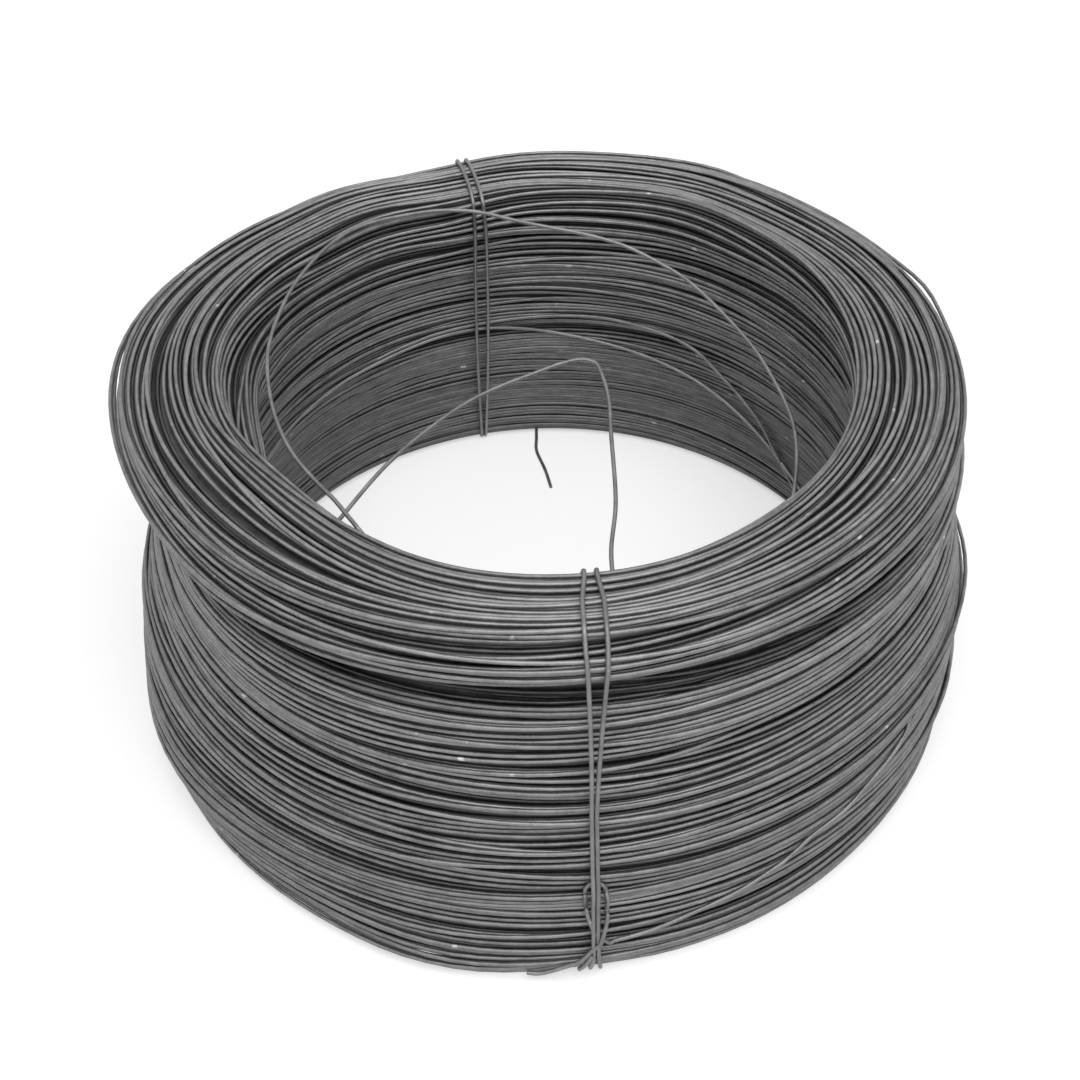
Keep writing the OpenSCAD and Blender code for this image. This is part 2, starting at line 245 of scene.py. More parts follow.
class Shade:
    """One material, or the world, and its nodes."""

    def __init__(self, name, world=None):
        self.material = world or bpy.data.materials.new(name)
        self.material.use_nodes = True
        self.tree = self.material.node_tree
        self.tree.nodes.clear()

    def node(self, kind, settings=None, sockets=None):
        """Adds a node, then sets its settings, then the values or links of its sockets."""
        made = self.tree.nodes.new(kind)
        for name, setting in (settings or {}).items():
            setattr(made, name, setting)
        for name, given in (sockets or {}).items():
            if isinstance(given, Value):
                self.tree.links.new(given.socket, made.inputs[name])
            else:
                made.inputs[name].default_value = given
        return made

    def value(self, node, name=0):
        return Value(self, node.outputs[name])

    def blend(self, share, first, second):
        """A colour between two others."""
        node = self.node(
            "ShaderNodeMix", {"data_type": "RGBA"}, {"Factor": share, 6: first, 7: second})
        return self.value(node, 2)

    def noise(self, place, scale, detail=2.0, rough=0.5):
        node = self.node(
            "ShaderNodeTexNoise", {},
            {"Vector": place, "Scale": scale, "Detail": detail, "Roughness": rough})
        return self.value(node, "Fac")

    def ranged(self, share, low, high):
        """Spreads low to high over 0 to 1."""
        node = self.node(
            "ShaderNodeMapRange", {}, {"Value": share, "From Min": low, "From Max": high})
        return self.value(node)

    def looked_at(self):
        """1 where the camera sees a surface straight, in a mirror or through glass, else 0."""
        path = self.node("ShaderNodeLightPath")
        camera, glossy, through = (
            self.value(path, name) for name in ("Is Camera Ray", "Is Glossy Ray", "Is Transmission Ray"))
        return camera + glossy + through

    def show(self, shader, output="ShaderNodeOutputMaterial"):
        self.node(output, {}, {"Surface": shader})


def rgba(colour, level=1.0):
    return (colour[0] * level, colour[1] * level, colour[2] * level, 1.0)


def wire_finish(name, bare, scale, roughness):
    """Drawn and annealed steel: grey metal under thin patchy scale, a little different on each turn.

    Turns lying deep, in the gap below the top bundle or low in the bore are dimmed as painted shade, and
    the bright specks are partly worn spots and partly painted glints.
    """
    shade = Shade(name)
    place = shade.value(shade.node("ShaderNodeTexCoord"), "Object")
    turn = shade.value(shade.node("ShaderNodeAttribute", {"attribute_name": "turn"}), "Fac")
    shift = shade.value(shade.node("ShaderNodeCombineXYZ", {}, {"X": turn * 3.0, "Y": turn * 5.0}))
    shifted = shade.value(shade.node("ShaderNodeVectorMath", {"operation": "ADD"}, {0: place, 1: shift}))
    patches = shade.ranged(shade.noise(shifted, PATCH_SCALE, 3.0, 0.6), 0.3, 0.7)
    grains = shade.noise(place, GRAIN_SCALE, 4.0, 0.75)
    light = shade.ranged(patches * 0.4 + turn * 0.25 + grains * 0.8, 0.35, 1.1)
    # How brightly the turn is painted: 1 for fully lit, down to 0 for painted shade on deep and recessed
    # turns
    painted_lit = shade.value(shade.node("ShaderNodeAttribute", {"attribute_name": "painted_lit"}), "Fac")
    colour = shade.blend(light, rgba(scale), rgba(bare))
    # The same colours dimmed as painted shade
    shaded_colour = shade.blend(light, rgba(scale, PAINTED_SHADE), rgba(bare, PAINTED_SHADE))
    # Bright specks, partly worn spots and partly painted glints, shown only where the turn is painted lit
    worn_glints = shade.ranged(shade.noise(shifted, WORN_GLINT_SCALE, 0.0), 0.83, 0.90) * painted_lit
    colour = shade.blend(worn_glints, shade.blend(painted_lit, shaded_colour, colour), rgba(colours().worn_glint))
    bump = shade.node(
        "ShaderNodeBump", {}, {"Strength": 0.5, "Distance": 0.03 * MM, "Height": grains})
    steel = shade.node("ShaderNodeBsdfPrincipled", {}, {
        "Base Color": colour,
        "Metallic": 0.75,
        "Roughness": roughness + grains * 0.2 - 0.1 + patches * 0.08 - worn_glints * 0.15,
        "Normal": shade.value(bump),
    })
    shade.show(shade.value(steel))
    return shade.material


@functools.lru_cache(maxsize=None)
def coil_finish():
    return wire_finish("annealed_wire", colours().bare, colours().scale, colours().roughness)


@functools.lru_cache(maxsize=None)
def tie_finish():
    bare = [2 * level for level in colours().tie]
    return wire_finish("tie_wire", bare, colours().tie, colours().roughness)


def corner_arc(before, corner, after, radius, steps=8):
    """Points of the arc that rounds a corner of an outline."""
    to_before = (before - corner) / np.linalg.norm(before - corner)
    to_after = (after - corner) / np.linalg.norm(after - corner)
    half = math.acos(float(to_before @ to_after)) / 2
    towards = to_before + to_after
    middle = corner + towards / np.linalg.norm(towards) * radius / math.sin(half)
    start = corner + to_before * radius / math.tan(half) - middle
    end = corner + to_after * radius / math.tan(half) - middle
    turned = math.atan2(start[0] * end[1] - start[1] * end[0], float(start @ end))
    first = math.atan2(start[1], start[0])
    angles = first + turned * np.linspace(0, 1, steps + 1)
    return middle + radius * np.stack([np.cos(angles), np.sin(angles)], 1)


@functools.lru_cache(maxsize=None)
def section_line():
    """Outline over the turns in radius and height, as even steps: points, outward normals, length."""
    size = sizes()
    top = size.top_outer_d / 2
    base = top + size.base_spread
    gap_z = COIL_H - size.bundle_h
    bore = top - size.top_wall
    # Radius and height of each corner in metres, and its rounding in millimetres
    corners = [
        (base - size.base_wall, 0, 4),
        (base, 0, 4),
        (top + size.belly_spread, size.belly_low_z, 20),
        (top + size.belly_spread, size.belly_high_z, 20),
        (top - size.waist_draw, COIL_H - size.waist_drop, 20),
        (top, gap_z - size.gap_w / 2, 2),
        (top - size.gap_depth, gap_z, 1.2),
        (top, gap_z + size.gap_w / 2, 3),
        (top, COIL_H, 9),
        (bore, COIL_H, 9),
        (bore, COIL_H - size.bore_neck_drop, 20),
    ]
    places = [np.array(corner[:2]) for corner in corners]
    line = np.concatenate([
        corner_arc(places[i - 1], places[i], places[(i + 1) % len(places)], corners[i][2] * MM)
        for i in range(len(places))])
    sides = np.linalg.norm(np.roll(line, -1, 0) - line, axis=1)
    marks = np.concatenate([[0], np.cumsum(sides)])
    steps = 1400
    even = np.linspace(0, marks[-1], steps, endpoint=False)
    closed = np.concatenate([line, line[:1]])
    points = np.stack([np.interp(even, marks, closed[:, i]) for i in (0, 1)], 1)
    reach = 4
    ahead = np.roll(points, -reach, 0) - np.roll(points, reach, 0)
    ahead /= np.linalg.norm(ahead, axis=1, keepdims=True)
    return points, np.stack([ahead[:, 1], -ahead[:, 0]], 1), marks[-1]


def on_section(s, depth):
    """Places at distances s along the outline and at a depth below it, and the outward normals there."""
    points, normals, around = section_line()
    spot = np.mod(s / around, 1) * len(points)
    low = np.floor(spot).astype(int) % len(points)
    high = (low + 1) % len(points)
    share = (spot - np.floor(spot))[..., None]
    normal = normals[low] * (1 - share) + normals[high] * share
    return points[low] * (1 - share) + points[high] * share - normal * depth[..., None], normal


def near_bearing(angles, middle, spread):
    """1 at a bearing and fading to 0 away from it; all in radians."""
    return np.exp(-(np.angle(np.exp(1j * (angles - middle))) / spread) ** 2)


def slump(places, angles):
    """How far each place is pushed outwards from the coil's axis where the coil has slumped."""
    size = sizes()
    r, z = places[..., 0], places[..., 1]
    push = np.zeros(z.shape)
    for bearing, spread, height, tall, out in SLUMPS:
        beside = near_bearing(angles, math.radians(bearing), math.radians(spread))
        push += out * MM * beside * np.exp(-((z - height * MM) / (tall * MM)) ** 2)
    # The top bundle as a whole lies a little to the left
    bundle = np.clip((z - (COIL_H - size.bundle_h)) / (4 * MM), 0, 1)
    push -= BUNDLE_SHIFT * bundle * np.cos(angles)
    # Its inner edge wanders in and out
    inner = np.clip((size.top_outer_d / 2 - 2 * MM - r) / LIP_WIDTH, 0, 1)
    inner = inner * np.exp(-((z - COIL_H) / LIP_DEPTH) ** 2)
    for bearing, spread, out in LIP:
        push += out * MM * inner * near_bearing(angles, math.radians(bearing), math.radians(spread))
    # Turns fill the gap below it on the right
    into_gap = (size.top_outer_d / 2 - r) / size.gap_depth
    gap = np.exp(-((z - COIL_H + size.bundle_h) / (0.7 * size.gap_w)) ** 2)
    gap = gap * np.clip(into_gap, 0, 1) * np.clip(2 - into_gap, 0, 1)
    push += GAP_FILL * size.gap_depth * gap * near_bearing(angles, *GAP_CLOSED)
    # The whole coil leans back, and its lowest turns lie forward
    height = np.clip(z, 0, COIL_H)
    back = LEAN_BACK * ((height / COIL_H) ** 1.2 - np.exp(-(height / (10 * MM)) ** 2))
    return push + back * np.sin(angles)


def looseness(heights, angles):
    """How loose the winding is, from 0 to 1: most at the front, high at the back and in the top bundle."""
    behind = np.clip(np.sin(angles), 0, 1)
    front = near_bearing(angles, -TAU / 4, math.radians(50))
    back = 0.6 * behind * np.clip((heights - 35 * MM) / (40 * MM), 0, 1)
    top = np.clip((heights - (COIL_H - sizes().bundle_h - sizes().gap_w)) / (8 * MM), 0, 1)
    least = 0.1
    return np.clip(front + back + top * (1 - 0.4 * behind), least, 1)


def floor_under(angles):
    """The least height of a turn's middle, which is a strand higher where a tie passes under it."""
    d = sizes().wire_d
    strand = 1.05 * d
    lift = sum(near_bearing(angles, tie, math.radians(7)) for tie in (FRONT_TIE, BACK_TIE))
    return d / 2 + strand * np.minimum(1, 1.2 * lift)


def waves(random, s, angles, size, orders, lengths, count):
    """A slow random field over the outline and round the coil: a sum of a few travelling waves."""
    field = np.zeros(np.broadcast(s, angles).shape)
    for _ in range(count):
        order = random.integers(orders[0], orders[1] + 1)
        pace = TAU / random.uniform(*lengths) * random.choice([-1, 1])
        field += np.cos(order * angles + pace * s + random.uniform(0, TAU))
    return field * size / math.sqrt(count)


def steps_round(random, choices, shares, total):
    """Distances round the outline in random steps, each from one of a few ranges with its share.

    Low in the bore all steps come from the first range, the smallest.
    """
    marks = [0.0]
    while marks[-1] < total:
        low, high = choices[random.choice(len(choices), p=shares)]
        if marks[-1] > total - DENSE_BORE:
            low, high = choices[0]
        marks.append(marks[-1] + random.uniform(low, high))
    marks = np.array(marks[:-1])
    return marks * total / (marks[-1] + sum(choices[1]) / 2)


def near_pairs(places, reach):
    """Pairs of turns that come within reach of each other somewhere."""
    firsts, seconds = [], []
    for i in range(len(places) - 1):
        apart = places[i + 1:] - places[i]
        close = np.nonzero(((apart ** 2).sum(2) < reach ** 2).any(1))[0]
        firsts.append(np.full(len(close), i))
        seconds.append(close + i + 1)
    return np.concatenate(firsts), np.concatenate(seconds)


def smooth_round(field, order):
    """Takes out of a field what changes faster than a stiff wire can follow."""
    parts = np.fft.rfft(field, axis=1)
    fade = np.exp(-(np.arange(parts.shape[1]) / order) ** 2)
    return np.fft.irfft(parts * fade[None, :, None], n=field.shape[1], axis=1)


def part_turns(places, normals, give, clear, floor, rounds):
    """Pushes turns that lie in each other apart, station by station, the soft ones most."""
    home = places.copy()
    most_lift = 0.3 * MM
    renewed = 18
    for step in range(rounds):
        if step % renewed == 0:
            first, second = near_pairs(places, 1.6 * clear)
        apart = places[second] - places[first]
        gap = np.linalg.norm(apart, axis=2)
        push = (np.maximum(0, clear - gap) / np.maximum(gap, 1e-6))[..., None] * apart
        share = (give[second] / (give[first] + give[second]))[:, None, None]
        move = np.zeros_like(places)
        np.add.at(move, second, push * share)
        np.subtract.at(move, first, push * (1 - share))
        places = places + smooth_round(move, STIFF_ORDER) * 0.8
        out = ((places - home) * normals).sum(2)
        places -= normals * np.maximum(0, out - most_lift)[..., None]
        places[..., 1] = np.maximum(places[..., 1], floor)
    return places


def eased(values, span, edge="edge"):
    """A running maximum and then a running mean, as a stiff wire bridges small hollows."""
    padded = np.pad(values, 2 * span, mode=edge)
    highest = np.max([padded[i:len(padded) - 2 * span + i] for i in range(2 * span + 1)], axis=0)
    kernel = np.ones(2 * span + 1) / (2 * span + 1)
    return np.convolve(highest, kernel, mode="valid")


def riding_turn(below, route, angles, stand_off=0.0):
    """A turn that lies on the turns below it, along distances round the outline, and its normals."""
    d = sizes().wire_d
    place, normal = on_section(route, np.full(route.shape, d))
    place[..., 0] += slump(place, angles)
    apart = below - place
    out = (apart * normal).sum(-1)
    aside = apart[..., 0] * normal[..., 1] - apart[..., 1] * normal[..., 0]
    rest = out + np.sqrt(np.maximum(d ** 2 - aside ** 2, 0))
    rest = np.where((np.abs(aside) < d) & (np.abs(out) < 8 * d), rest, -d).max(0)
    return place + normal * (eased(rest, 2, "wrap") + stand_off)[..., None], normal


def mark_at(height):
    """Distance along the outline of the place on the outside at a height."""
    points, _, around = section_line()
    outside = np.nonzero(points[:, 0] > sizes().top_outer_d / 2 - 12 * MM)[0]
    return around / len(points) * outside[np.argmin(np.abs(points[outside, 1] - height))]


def riding_turns(random, below, angles, count):
    """Turns that wander over the others where the coil is loose and between them elsewhere."""
    around = section_line()[2]
    gap = mark_at(COIL_H - sizes().bundle_h)
    d = sizes().wire_d
    riders, normals = [], []
    # From low on the outside, over the top, to where the turns in the bore lie close together
    marks = np.linspace(26 * MM, around - DENSE_BORE, count) + random.uniform(-3, 3, count) * MM
    for mark in marks:
        if abs(mark - gap) < 8 * MM:
            continue
        # Waves once, twice and three times round, with their sizes in millimetres
        route = mark + sum(
            random.uniform(0.3, 1.0) * size * MM * np.cos(order * angles + random.uniform(0, TAU))
            for order, size in ((1, 3.2), (2, 1.8), (3, 0.8)))
        place, normal = riding_turn(below, route, angles)
        below = np.concatenate([below, place[None]])
        riders.append(place - normal * ((1 - looseness(place[:, 1], angles)) * 0.9 * d)[:, None])
        normals.append(normal)
    return np.array(riders), np.array(normals)


def sprung_turns(below, angles):
    """Turns that have sprung off the side."""
    for bearing, spread, height, out in SPRUNG:
        route = np.full(len(angles), mark_at(height * MM))
        stand_off = out * MM * near_bearing(angles, math.radians(bearing), math.radians(spread))
        below = np.concatenate([below, riding_turn(below, route, angles, stand_off)[0][None]])
    return below


@functools.lru_cache(maxsize=None)
def wound_turns():
    """Centres of all modelled turns: (turn, station, radius and height), and each turn's layer."""
    random = np.random.default_rng(sizes().seed)
    d = sizes().wire_d
    around = section_line()[2]
    angles = np.linspace(0, TAU, STATIONS, endpoint=False)[None, :]
    wander = 0.3 * MM
    # For each layer the depth and the further depth where it is loose, the ranges of the steps
    # between turns, all in wires, the share of each range, and how softly its turns give way
    layers = [
        (1.25, 0.0, [(1.05, 1.3), (1.7, 2.3), (2.4, 3.2)], [0.2, 0.5, 0.3], 0.35),
        (1.55, 1.05, [(1.03, 1.2), (1.5, 2.0), (2.0, 2.6)], [0.3, 0.45, 0.25], 0.7),
        (2.9, 0.6, [(1.03, 1.2), (1.3, 1.7), (1.8, 2.1)], [0.5, 0.35, 0.15], 1.0),
    ]
    rider_softness = 0.2
    margin = 0.3 * MM
    places, normals, give, layer_of = [], [], [], []
    drift_seed = random.integers(1 << 30)
    swell_seed = random.integers(1 << 30)
    for number, (depth, extra, choices, shares, softness) in enumerate(layers):
        marks = steps_round(random, np.array(choices) * d, shares, around)[:, None]
        own = sum(
            random.normal(0, wander / order, (len(marks), 1))
            * np.cos(order * angles + random.uniform(0, TAU, (len(marks), 1)))
            for order in (1, 2, 3, 4))
        dip = random.uniform(0, 0.3, (len(marks), 1)) * d
        dips = dip * (1 + np.cos(random.integers(1, 4, (len(marks), 1)) * angles
                                 + random.uniform(0, TAU, (len(marks), 1))))
        loose = looseness(on_section(marks, np.zeros(marks.shape))[0][..., 1], angles)
        # Turns near each other drift along the outline and swell out of it together
        drift = waves(
            np.random.default_rng(drift_seed), marks, angles, 1.5 * MM, (0, 3), (14 * MM, 60 * MM), 12)
        swell = waves(
            np.random.default_rng(swell_seed), marks, angles, 0.6 * MM, (0, 3), (9 * MM, 50 * MM), 14)
        deep = depth * d + margin + loose * (extra * d + dips - swell)
        place, normal = on_section(marks + own + drift, deep)
        place[..., 0] += slump(place, angles)
        places.append(place)
        normals.append(normal)
        give.append(np.full(len(marks), softness))
        layer_of.append(np.full(len(marks), number))
    places, normals, give = np.concatenate(places), np.concatenate(normals), np.concatenate(give)
    layer_of = np.concatenate(layer_of)
    places = part_turns(places, normals, give, d * 1.01, floor_under(angles), FIRST_ROUNDS)
    riders, rider_normals = riding_turns(random, places[layer_of == 0], angles[0], RIDERS)
    places, normals = np.concatenate([riders, places]), np.concatenate([rider_normals, normals])
    give = np.concatenate([np.full(len(riders), rider_softness), give])
    layer_of = np.concatenate([np.zeros(len(riders), int), layer_of])
    places = part_turns(places, normals, give, d * 1.01, floor_under(angles), LAST_ROUNDS)
    surface = sprung_turns(places[layer_of == 0], angles[0])
    places = np.concatenate([surface, places[layer_of > 0]])
    layer_of = np.concatenate([np.zeros(len(surface), int), layer_of[layer_of > 0]])
    return places, layer_of


def in_space(r, z, angles):
    """Points in space for radius, height and bearing."""
    return np.stack([r * np.cos(angles), r * np.sin(angles), z], -1)


def painted_lit_share(places, angles, layer):
    """How brightly a turn is painted, from 0 for full painted shade to 1 for fully lit: deep in the coil
    it is all painted shade, and in the gap below the top bundle it is painted dark too.

    Low down the turns are painted darker, in the bore most, and the second layer darker where the winding
    is loose.
    """
    size = sizes()
    r, z = places[..., 0], places[..., 1]
    if layer > 1:
        return np.zeros(z.shape)
    sunk = np.clip((size.top_outer_d / 2 - 2 * MM - r) / (4 * MM), 0, 1)
    off = np.abs(z - (COIL_H - size.bundle_h)) / (size.gap_w / 2)
    low = np.clip((70 * MM - z) / (40 * MM), 0, 1)
    middle = size.top_outer_d / 2 - size.top_wall / 2 + 12 * MM * (1 - z / COIL_H)
    shaded = np.where(r > middle, sunk * np.clip(2 - off, 0, 1) + 0.2 * low, 0.5 * low)
    return (1 - shaded) * (1 - layer * looseness(z, angles))


def ring_lines(chosen, step, layer=0):
    """The chosen turns as lines in space, with only every step-th station, and how brightly they are
    painted against the painted shade.
    """
    places = wound_turns()[0][chosen][:, ::step]
    angles = np.linspace(0, TAU, STATIONS, endpoint=False)[None, ::step]
    return in_space(places[..., 0], places[..., 1], angles), painted_lit_share(places, angles, layer)


def turns_at(angles):
    """Radius and height of every surface turn at any bearings: (turn, bearing, radius and height)."""
    places, layers = wound_turns()
    spot = np.mod(angles / TAU, 1) * STATIONS
    low = np.floor(spot).astype(int) % STATIONS
    share = (spot - np.floor(spot))[None, :, None]
    surface = places[layers == 0]
    return surface[:, low] * (1 - share) + surface[:, (low + 1) % STATIONS] * share


def resting(angles, radii, heights, outward):
    """Radii at which a strand rests on the surface turns, outside them (+1) or in the bore (-1)."""
    d = sizes().wire_d
    turns = turns_at(angles)
    aside = np.abs(turns[..., 1] - heights[None, :])
    near = (aside < 4 * d) & (np.abs(turns[..., 0] - radii[None, :]) < 16 * MM)
    top = outward * turns[..., 0] + np.sqrt(np.maximum(d ** 2 - aside ** 2, 0))
    return outward * np.where(near, top, -1).max(0)


def spline_through(points, step):
    """A smooth line through a few points, in nearly even steps, as a Catmull-Rom spline."""
    points = np.array(points, float)
    line = []
    for i in range(len(points) - 1):
        before, a, b = points[max(i - 1, 0)], points[i], points[i + 1]
        after = points[min(i + 2, len(points) - 1)]
        count = max(1, math.ceil(np.linalg.norm(b[:3] - a[:3]) / step))
        t = np.linspace(0, 1, count, endpoint=False)[:, None]
        line.append(0.5 * (
            2 * a + (b - before) * t + (2 * before - 5 * a + 4 * b - after) * t ** 2
            + (3 * a - before - 3 * b + after) * t ** 3))
    return np.concatenate(line + [points[-1:]])


def wire_mesh(lines, sides, closed):
    """Round wires along lines, as one mesh."""
    curve = bpy.data.curves.new("lines", "CURVE")
    curve.dimensions = "3D"
    curve.bevel_depth = sizes().wire_d / 2
    curve.bevel_resolution = (sides - 4) // 2
    curve.use_fill_caps = not closed
    for line in lines:
        spline = curve.splines.new("POLY")
        spline.points.add(len(line) - 1)
        spline.points.foreach_set("co", np.hstack([line, np.ones((len(line), 1))]).ravel())
        spline.use_cyclic_u = closed
    holder = bpy.data.objects.new("lines", curve)
    bpy.context.scene.collection.objects.link(holder)
    mesh = bpy.data.meshes.new_from_object(holder.evaluated_get(bpy.context.evaluated_depsgraph_get()))
    bpy.data.objects.remove(holder)
    bpy.data.curves.remove(curve)
    return mesh


def wires(name, lines, sides, closed, material, node, painted_lit_shares=None):
    """Adds one piece of round wires along lines.

    The attribute called turn differs from wire to wire, and the second attribute tells how brightly the
    wire is painted: below 1 it carries painted shade.
    """
    random = np.random.default_rng(sizes().seed + len(lines))
    shape = bmesh.new()
    turn = shape.verts.layers.float.new("turn")
    painted_lit = shape.verts.layers.float.new("painted_lit")
    for group in [lines] if closed else [[line] for line in lines]:
        start = len(shape.verts)
        mesh = wire_mesh(group, sides, closed)
        shape.from_mesh(mesh)
        bpy.data.meshes.remove(mesh)
        shape.verts.ensure_lookup_table()
        own = random.random(len(group))
        each = (len(shape.verts) - start) // len(group)
        for i, vert in enumerate(shape.verts[start:]):
            vert[turn] = own[i // each]
            # Ties and wire ends are painted fully lit; wound turns take their painted shade from the given
            # shares
            vert[painted_lit] = 1.0 if painted_lit_shares is None else painted_lit_shares[i // each][i % each // sides]
    if not closed:
        bmesh.ops.remove_doubles(shape, verts=shape.verts, dist=0.01 * MM)
        bmesh.ops.recalc_face_normals(shape, faces=shape.faces)
    mesh = bpy.data.meshes.new(name)
    shape.to_mesh(mesh)
    shape.free()
    mesh.shade_smooth()
    mesh.set_sharp_from_angle(angle=math.radians(65))
    mesh.materials.append(material)
    piece = bpy.data.objects.new(name, mesh)
    bpy.context.scene.collection.objects.link(piece)
    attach(piece, "root")
    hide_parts(node)


class COIL_OT_wound_turns(bpy.types.Operator):
    """Adds the wound turns in three layers, the outer two split by the face that they lie on"""

    bl_idname = "coil.wound_turns"
    bl_label = "Wound turns"

    def execute(self, context):
        places, layers = wound_turns()
        middle = places.mean(1)
        bore = sizes().top_outer_d / 2 - sizes().top_wall
        # The turns at the base lie on the floor or on the turn below
        low = middle[:, 1] < 2.5 * MM
        inner = (middle[:, 0] < bore + 0.4 * sizes().top_wall) & ~low
        pieces = (
            ("outer_turns", (layers == 0) & ~inner & ~low, 0),
            ("bore_turns", (layers == 0) & inner, 0),
            ("base_turns", (layers == 0) & low, 0),
            ("second_outer_turns", (layers == 1) & ~inner, 1),
            ("second_bore_turns", (layers == 1) & inner, 1),
            ("deep_turns", layers == 2, 2))
        for name, chosen, layer in pieces:
            lines, painted_lit_shares = ring_lines(np.nonzero(chosen)[0], max(1, layer), layer)
            sides = DEEP_SIDES if layer else SURFACE_SIDES
            wires(name, lines, sides, True, coil_finish(), "wire_coil", painted_lit_shares=painted_lit_shares)
        return {"FINISHED"}


def lean(z):
    """How far aside the front tie lies at a height, because its upper half leans."""
    return sizes().front_tie_lean * np.clip(2.2 * z / COIL_H - 1.2, 0, 1)


def taut_line(bearing):
    """A tie pulled tight over the turns: radii and heights in even steps, and which are outside."""
    d = sizes().wire_d
    turns = turns_at(np.array([bearing]))[:, 0]
    directions = np.linspace(-TAU / 4, 3 * TAU / 4, 200)[:-1]
    towards = np.stack([np.cos(directions), np.sin(directions)], 1)
    loop = turns[np.argmax(turns @ towards.T, axis=0)] + d * towards
    loop = np.concatenate([loop, loop[:1]])
    marks = np.concatenate([[0], np.cumsum(np.linalg.norm(np.diff(loop, axis=0), axis=1))])
    even = np.arange(0, marks[-1], 0.9 * d)
    r, z = (np.interp(even, marks, loop[:, i]) for i in (0, 1))
    return r, z, r > turns[:, 0].mean()


class COIL_OT_ties(bpy.types.Operator):
    """Adds the two ties, each one wire laid twice round the section and pulled tight over its turns"""

    bl_idname = "coil.ties"
    bl_label = "Ties"

    def execute(self, context):
        size = sizes()
        self.add_tie("front_tie", FRONT_TIE, size.front_tie_gap, size.front_tie_spread, hitched=True)
        self.add_tie("back_tie", BACK_TIE, size.back_tie_gap, 0, hitched=False)
        return {"FINISHED"}

    def add_tie(self, name, bearing, top_gap, spread, hitched):
        lines = [self.strand(bearing, side, top_gap, spread, hitched) for side in (-1, 1)]
        if hitched:
            lines.append(self.spare_end(bearing))
        wires(name, lines, FREE_SIDES, False, tie_finish(), name)

    def strand(self, bearing, side, top_gap, spread, hitched):
        """One strand, from under the coil up the side, over the top and down the bore."""
        d = sizes().wire_d
        r, z, outside = taut_line(bearing)
        share = np.clip(z / COIL_H, 0, 1)
        touching = 1.04 * d
        # Outside, the strands part from half way up; in the bore they bow apart
        opened = np.clip((share - 0.54) / 0.44, 0, 1) ** 1.6
        bow = 4 * (sizes().tie_bore_gap - top_gap) * share * (1 - share)
        bowed = touching + (top_gap - touching) * share + bow
        # 1 on the top end, and fading out where the strand goes down into the bore
        over_top = np.clip((r - 92 * MM) / (10 * MM), 0, 1) * np.clip((z - 100 * MM) / (8 * MM), 0, 1)
        gap = np.where(
            outside, touching + (top_gap + spread - touching) * opened, bowed + spread * over_top)
        aside = side * gap / 2
        if hitched:
            # The strands splay at the foot, stand off at the top of the hitch's eye and lean aside
            # from there to the top end and the bore
            size = sizes()
            gap = gap + 1.6 * MM * np.clip(1 - z / (9 * MM), 0, 1)
            over = z - size.hitch_z - size.hitch_h / 2
            r = r + np.where(outside, 1.1 * d * np.exp(-(over / (size.hitch_h / 4)) ** 2), 0)
            inwards = 1 - np.clip((r - 88 * MM) / (24 * MM), 0, 1)
            aside = side * gap / 2 + lean(z) + size.front_tie_lean * inwards
        across = np.array([-math.sin(bearing), math.cos(bearing), 0])
        return in_space(r, z, bearing) + aside[:, None] * across

    def spare_end(self, bearing):
        """The short end of the front tie that sticks out from under the coil."""
        d = sizes().wire_d
        # Places past the tie and past the coil's edge in millimetres, and heights in wires
        points = [(-1.2, 0.2, 8.0), (-2.2, 0.5, 6.0), (-3.4, 0.4, 4.2), (-4.6, 0.2, 3.0)]
        rim = turns_at(np.array([bearing]))[:, 0]
        edge = rim[rim[:, 1] < 8 * MM, 0].max() + d
        line = [in_space(edge + out * MM, z * d, bearing + aside * MM / edge) for aside, out, z in points]
        return spline_through(line, d)


